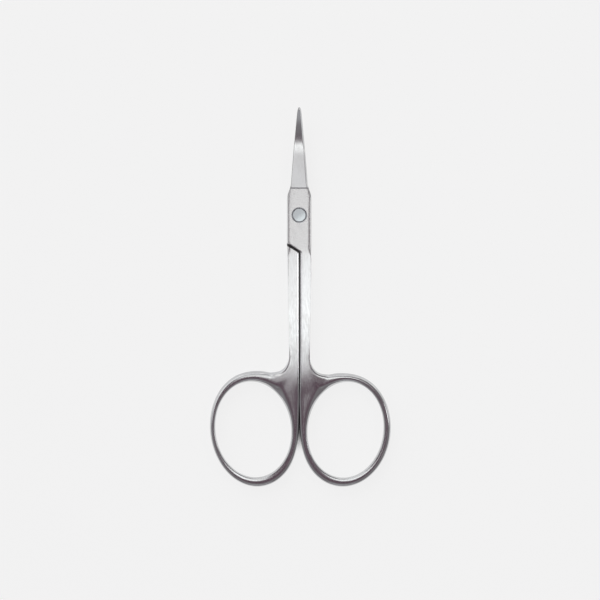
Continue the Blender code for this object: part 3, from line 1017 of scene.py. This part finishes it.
# Unpolished steel, darkened as painted shade in the gap, at the step and between the laps
DULL_AND_SHADE = (0.16, 0.155, 0.155, 1)
TARNISH_LIMITS = (0.35, 0.65)
GROUND_LIMITS = (0.2, 0.5, 0.5, 1)


def steel_colour(tree, place, masks, bright, tarnished):
    patches = pattern(tree, place, **TARNISH_PATCHES)
    colour = laid_over(tree, tarnished, graded(tree, patches, *TARNISH_LIMITS), bright)
    ground = product(tree, masks.satin, graded(tree, patches, *GROUND_LIMITS))
    # Two of these are painted shade: the thin line at the grinding line, and the dark colour of the
    # unpolished walls and laps
    for share, tone in ((ground, GROUND), (masks.worn, WORN), (masks.foot, GRIND_LINE_SHADE),
                        (masks.ring, RING), (masks.dull, DULL_AND_SHADE)):
        colour = laid_over(tree, colour, share, tone)
    return colour


# %% Roughness and relief of the steel
SATIN_ROUGHNESS = 0.26
POLISHED_ROUGHNESS = 0.13
DULL_ROUGHNESS = 0.55
GRIND_UNEVENNESS = (0.3, 0.7, -0.02, 0.02)
FELT_UNEVENNESS = (0.3, 0.7, -0.03, 0.03)
HAIRLINE_ROUGHNESS = 0.08
GRIND_DEPTH = 0.3
FELT_DEPTH = 0.4
HAIRLINE_DEPTH = 0.3


def steel_roughness(tree, masks, grind, grain, hairlines):
    ground = combined(tree, "ADD", graded(tree, grind, *GRIND_UNEVENNESS), SATIN_ROUGHNESS)
    felt = combined(tree, "ADD", graded(tree, grain, *FELT_UNEVENNESS), POLISHED_ROUGHNESS)
    felt = combined(tree, "ADD", felt, product(tree, hairlines, HAIRLINE_ROUGHNESS))
    finish = mixed(tree, masks.satin, felt, ground)
    finish = mixed(tree, masks.ring, finish, DULL_ROUGHNESS)
    unpolished = combined(tree, "MAXIMUM", masks.dull, masks.foot)
    return mixed(tree, unpolished, finish, DULL_ROUGHNESS)


def steel_relief(tree, masks, grind, grain, hairlines):
    relief = mixed(tree, masks.satin, product(tree, grain, FELT_DEPTH),
                   product(tree, grind, GRIND_DEPTH))
    return combined(tree, "SUBTRACT", relief, product(tree, hairlines, HAIRLINE_DEPTH))


# %% The three steels
BUMP_STRENGTH = 0.03
BUMP_DISTANCE = 0.00002


def steel(name, lap_side, bright=BRIGHT, tarnished=TARNISHED):
    """Steel for a piece whose lap face points up (1) or down (-1), or that has none (0)."""
    material = bpy.data.materials.new(name)
    material.use_nodes = True
    tree = material.node_tree
    shader = tree.nodes["Principled BSDF"]
    shader.inputs["Metallic"].default_value = 1
    place, spot, normal = places(tree)
    masks = finish_masks(tree, spot, normal, lap_side)
    patterns = (pattern(tree, place, **GRIND_LINES), pattern(tree, place, **FELT_GRAIN),
                scratches(tree, place))
    relief = steel_relief(tree, masks, *patterns)
    bump = add(tree, "Bump", {"Height": relief, "Strength": BUMP_STRENGTH,
                              "Distance": BUMP_DISTANCE})
    for socket, value in (
        ("Base Color", steel_colour(tree, place, masks, bright, tarnished)),
        ("Roughness", steel_roughness(tree, masks, *patterns)),
        ("Normal", bump.outputs["Normal"]),
    ):
        tree.links.new(value, shader.inputs[socket])
    return material


front.data.materials.append(steel("front_steel", -1))
back.data.materials.append(steel("back_steel", 1))
rivet.data.materials.append(steel("rivet_steel", 0, RIVET_BRIGHT, RIVET_TARNISHED))
print("nodes in a steel:", len(front.data.materials[0].node_tree.nodes))

# %% [markdown]
# ## Put the pieces on their bodies
#
# Each piece takes the place of one imported node and rides on that node's body. The rivet's tail is
# hammered into the back half, so the rivet turns with the back.

# %% Ride and replace
for piece, node, body, slot in (
    (front, "front_half", "front", "front_steel"),
    (back, "back_half", "back", "back_steel"),
    (rivet, "pivot_rivet", "back", "rivet_steel"),
):
    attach(piece, body)
    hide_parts(node)
    print(piece.name, "stands for", node, "and rides on", body)

# %% [markdown]
# ## The floor
#
# Steel has no look of its own: it shows the room, and the paper that it lies on. The real paper is
# pale and nearly even. More light would burn out the steel as well, so here the paper shines by
# itself for the most part, but only for rays from the camera and from glossy surfaces. Close to the
# steel Ambient Occlusion takes that shine away, so that the gap between the shanks stays dark and
# the pair keeps its shadow.

# %% Floor
FLOOR_RADIUS = 3
FLOOR_SIDES = 96
PAPER = (0.945, 0.955, 0.945, 1)
PAPER_ROUGHNESS = 0.8
PALE = (1, 1, 1, 1)
PALE_SHARE = 0.8
SHADOW_REACH = 0.0025
SHADOW_FADES = (0.08, 0.45)

bm = bmesh.new()
bmesh.ops.create_circle(bm, cap_ends=True, segments=FLOOR_SIDES, radius=FLOOR_RADIUS)
floor = object_from(bm, "floor")
paper = bpy.data.materials.new("pale_paper")
paper.use_nodes = True
tree = paper.node_tree
matt = tree.nodes["Principled BSDF"]
matt.inputs["Base Color"].default_value = PAPER
matt.inputs["Roughness"].default_value = PAPER_ROUGHNESS
open_sky = add(tree, "AmbientOcclusion", {"Distance": SHADOW_REACH}).outputs["AO"]
open_sky = graded(tree, open_sky, *SHADOW_FADES)
path = add(tree, "LightPath").outputs
seen = combined(tree, "MAXIMUM", path["Is Camera Ray"], path["Is Glossy Ray"])
glow = add(tree, "Emission", {"Color": PALE, "Strength": open_sky})
blend = add(tree, "MixShader", {0: product(tree, seen, PALE_SHARE),
                                1: matt.outputs["BSDF"], 2: glow.outputs["Emission"]})
tree.links.new(blend.outputs["Shader"], tree.nodes["Material Output"].inputs["Surface"])
floor.data.materials.append(paper)
print("floor:", 2 * FLOOR_RADIUS, "m across")

# %% [markdown]
# ## The room
#
# The room is the plainest that explains the picture. The webs and the bows reflect a dark, slightly
# reddish ceiling. The upper edges of the bows reflect a bright wall beyond the points, more to the
# left, and the ends of the blades, which turn up, reflect a pale patch high up behind the bows. The
# left wall is a little paler than the rest, and so is the horizon. Each of them is a colour of the
# world, laid over the others where the direction turns towards it. The camera itself sees a plain
# pale backdrop instead.

# %% World
CEILING = (0.146, 0.1, 0.124, 1)
CEILING_BEGINS = (0.955, 0.975)
DIM_WALL = (0.24, 0.225, 0.235, 1)
WALLS = (
    ((-1, 0, 0), (0.35, 0.65), (0.32, 0.31, 0.325, 1)),
    ((0, -0.6, 0.8), (0.965, 0.985), (0.5, 0.5, 0.52, 1)),
    ((-0.5, 0.87, 0), (0.45, 0.8), (1.25, 1.25, 1.27, 1)),
)
HORIZON = (0.35, 0.35, 0.35, 1)
HORIZON_BEGINS = (0.15, 0.05)
BACKDROP = (0.9, 0.9, 0.9, 1)

world = bpy.data.worlds.new("room")
bpy.context.scene.world = world
world.use_nodes = True
tree = world.node_tree
direction = add(tree, "TexCoord").outputs["Generated"]
height = add(tree, "SeparateXYZ", {0: direction}).outputs["Z"]
room = DIM_WALL
for way, reach, colour in WALLS:
    dot = add(tree, "VectorMath", {0: direction, 1: way}, operation="DOT_PRODUCT")
    room = laid_over(tree, room, graded(tree, dot.outputs["Value"], *reach), colour)
room = laid_over(tree, room, graded(tree, height, *HORIZON_BEGINS), HORIZON)
room = laid_over(tree, room, graded(tree, height, *CEILING_BEGINS), CEILING)
camera_sees = add(tree, "LightPath").outputs["Is Camera Ray"]
room = laid_over(tree, room, camera_sees, BACKDROP)
tree.links.new(room, tree.nodes["Background"].inputs["Color"])
print("walls beside the dim one:", len(WALLS))

# %% [markdown]
# ## The lights
#
# A soft box hangs overhead, turned by 32 degrees. The blades, the plate and the shanks reflect it,
# brightest at the shanks, and its near edge fades out over the webs, so it is built of strips side
# by side. An area light doesn't hide the ceiling behind it: the two add up, and the box is slightly
# green so that together they come out neutral. Two smaller boxes stand to the right and the left,
# for the chamfers beside the gap, which turn away from the big one.

# %% Soft box
BOX_HEIGHT = 0.35
BOX_TURN = math.radians(32)
BOX_RIGHT = 0.06
BOX_WIDTH = 0.104
BOX_COLOUR = (0.955, 1, 0.975)
STRIPS = (
    ("box_edge_1", 0.058, 0.009, 0.08),
    ("box_edge_2", 0.049, 0.005, 0.2),
    ("box_edge_3", 0.044, 0.004, 0.42),
    ("box_edge_4", 0.040, 0.005, 0.95),
    ("strip_1", 0.035, 0.017, 1.75),
    ("strip_2", 0.018, 0.020, 1.35),
    ("soft_box", -0.002, 0.14, 0.88),
)


def light_box(name, place, width, depth, radiance):
    """A light of this size that faces down, and shows this radiance."""
    light = bpy.data.lights.new(name, "AREA")
    light.shape = "RECTANGLE"
    light.size = width
    light.size_y = depth
    light.energy = radiance * math.pi * width * depth
    box = bpy.data.objects.new(name, light)
    bpy.context.scene.collection.objects.link(box)
    box.location = place
    print(name, "at", [round(c, 3) for c in place], "with", round(light.energy, 2), "W")
    return box


across = Vector((math.sin(BOX_TURN), -math.cos(BOX_TURN), 0))
along = Vector((math.cos(BOX_TURN), math.sin(BOX_TURN), 0))
for name, near_edge, depth, radiance in STRIPS:
    place = across * (near_edge - depth / 2) + along * (BOX_RIGHT - BOX_WIDTH / 2)
    place.z = BOX_HEIGHT
    strip = light_box(name, place, BOX_WIDTH, depth, radiance)
    strip.data.color = BOX_COLOUR
    strip.rotation_euler = (0, 0, BOX_TURN)

# %% Side lights
SIDE_WIDTH = 0.12
SIDE_DEPTH = 0.09

for name, place, radiance in (
    ("right_box", Vector((0.39, 0.012, 0.35)), 3),
    ("left_box", Vector((-0.39, 0.012, 0.35)), 1.2),
):
    side_box = light_box(name, place, SIDE_WIDTH, SIDE_DEPTH, radiance)
    side_box.rotation_euler = place.to_track_quat("Z", "Y").to_euler()

# %% [markdown]
# ## The camera
#
# The picture was taken from straight above. Its scale follows from the pair's 90 mm, and the
# camera's place from the pixel on which the rivet's axis lies.

# %% Camera
MM_PER_PIXEL = 0.2375
PIXELS = 600
CAMERA_HEIGHT = 0.6
PIVOT_PIXEL = Vector((299.3, 215.3))

view_width = MM_PER_PIXEL * PIXELS / 1000
lens = bpy.data.cameras.new("camera")
camera = bpy.data.objects.new("camera", lens)
bpy.context.scene.collection.objects.link(camera)
bpy.context.scene.camera = camera
camera.location = (
    (PIXELS / 2 - PIVOT_PIXEL.x) * MM_PER_PIXEL / 1000,
    -(PIXELS / 2 - PIVOT_PIXEL.y) * MM_PER_PIXEL / 1000,
    MIDDLE + CAMERA_HEIGHT,
)
lens.lens = lens.sensor_width * CAMERA_HEIGHT / view_width
bpy.context.scene.view_settings.view_transform = "Standard"
print("view width in mm:", round(1000 * view_width, 1))
